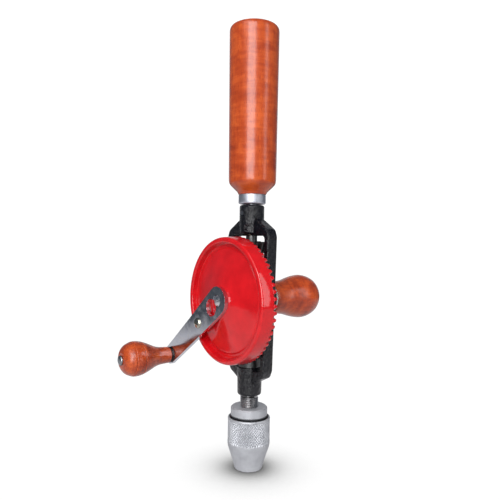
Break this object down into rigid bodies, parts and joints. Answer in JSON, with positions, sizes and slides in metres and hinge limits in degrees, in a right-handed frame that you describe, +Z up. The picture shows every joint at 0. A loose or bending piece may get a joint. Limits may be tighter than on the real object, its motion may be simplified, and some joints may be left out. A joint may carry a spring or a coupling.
{
  "type": "hand drill",
  "caption": "Hand-cranked drill: bevel drive wheel, double pinions, ladder frame, turned wood handles and a keyless three-jaw chuck.",
  "frame": {"origin": "centre of the chuck's mouth, on the spindle's axis", "axes": "+Z up the spindle towards the main handle, -Y towards the drive wheel and crank, +Y towards the side knob, +X to the right seen from the wheel's side"},
  "size_m": [0.1107, 0.1254, 0.291],
  "materials": {
    "black_enamel": "glossy black enamel over a rough casting",
    "red_enamel": "glossy red enamel",
    "lacquered_wood": "clear gloss lacquer over orange-brown hardwood",
    "satin_steel": "satin",
    "dark_steel": "oiled dark steel",
    "gear_steel": "machined steel",
    "bronze": "sintered bronze",
    "nickel": "bright nickel",
    "chrome_plate": "polished chrome plate",
    "satin_alloy": "satin, diamond knurl on the sleeve"
  },
  "bodies": {
    "frame": {"frame_casting": "black_enamel", "main_handle": "lacquered_wood", "handle_ferrule": "satin_steel", "handle_tang": "dark_steel", "tang_pin": "dark_steel", "idler_bush": "bronze", "spindle_bush": "bronze", "thrust_washer": "satin_steel", "wheel_axle": "nickel", "wheel_washer": "satin_steel", "side_stud": "dark_steel", "side_washer": "nickel", "side_knob": "lacquered_wood"},
    "wheel": {"drive_wheel": "red_enamel", "wheel_bush": "bronze", "crank_arm": "chrome_plate", "arm_screw": "nickel", "crank_pin": "nickel", "knob_washer": "dark_steel"},
    "knob": {"crank_knob": "lacquered_wood"},
    "spindle": {"spindle": "dark_steel", "drive_pinion": "gear_steel", "pinion_pin": "dark_steel", "chuck_body": "satin_alloy"},
    "idler": {"idler_pinion": "gear_steel", "idler_shaft": "dark_steel"},
    "sleeve": {"chuck_sleeve": "satin_alloy", "jaw_nut": "dark_steel"},
    "jaw_a": {"jaw_1": "gear_steel"},
    "jaw_b": {"jaw_2": "gear_steel"},
    "jaw_c": {"jaw_3": "gear_steel"}
  },
  "joints": [
    {"name": "wheel_turn", "type": "hinge", "parent": "frame", "child": "wheel", "pos_m": [0, -0.0201, 0.1115], "axis": [0, 1, 0], "continuous": true},
    {"name": "spindle_turn", "type": "hinge", "parent": "frame", "child": "spindle", "pos_m": [0, 0, 0.06], "axis": [0, 0, 1], "continuous": true},
    {"name": "idler_turn", "type": "hinge", "parent": "frame", "child": "idler", "pos_m": [0, 0, 0.15], "axis": [0, 0, 1], "continuous": true},
    {"name": "knob_spin", "type": "hinge", "parent": "wheel", "child": "knob", "pos_m": [-0.05793, -0.02803, 0.06768], "axis": [0.0167, -0.9998, 0.0126], "continuous": true},
    {"name": "sleeve_turn", "type": "hinge", "parent": "spindle", "child": "sleeve", "pos_m": [0, 0, 0.016], "axis": [0, 0, 1], "range_deg": [0, 2100]},
    {"name": "jaw_a_slide", "type": "slide", "parent": "spindle", "child": "jaw_a", "axis": [-0.2588, 0, -0.9659], "range_m": [0, 0.0118]},
    {"name": "jaw_b_slide", "type": "slide", "parent": "spindle", "child": "jaw_b", "axis": [0.1294, -0.2241, -0.9659], "range_m": [0, 0.0118]},
    {"name": "jaw_c_slide", "type": "slide", "parent": "spindle", "child": "jaw_c", "axis": [0.1294, 0.2241, -0.9659], "range_m": [0, 0.0118]}
  ],
  "couplings": [
    {"joint": "spindle_turn", "follows": "wheel_turn", "ratio": -3.3333},
    {"joint": "idler_turn", "follows": "wheel_turn", "ratio": 3.3333},
    {"joint": "jaw_a_slide", "follows": "sleeve_turn", "m_per_rad": 0.00031831},
    {"joint": "jaw_b_slide", "follows": "sleeve_turn", "m_per_rad": 0.00031831},
    {"joint": "jaw_c_slide", "follows": "sleeve_turn", "m_per_rad": 0.00031831}
  ]
}
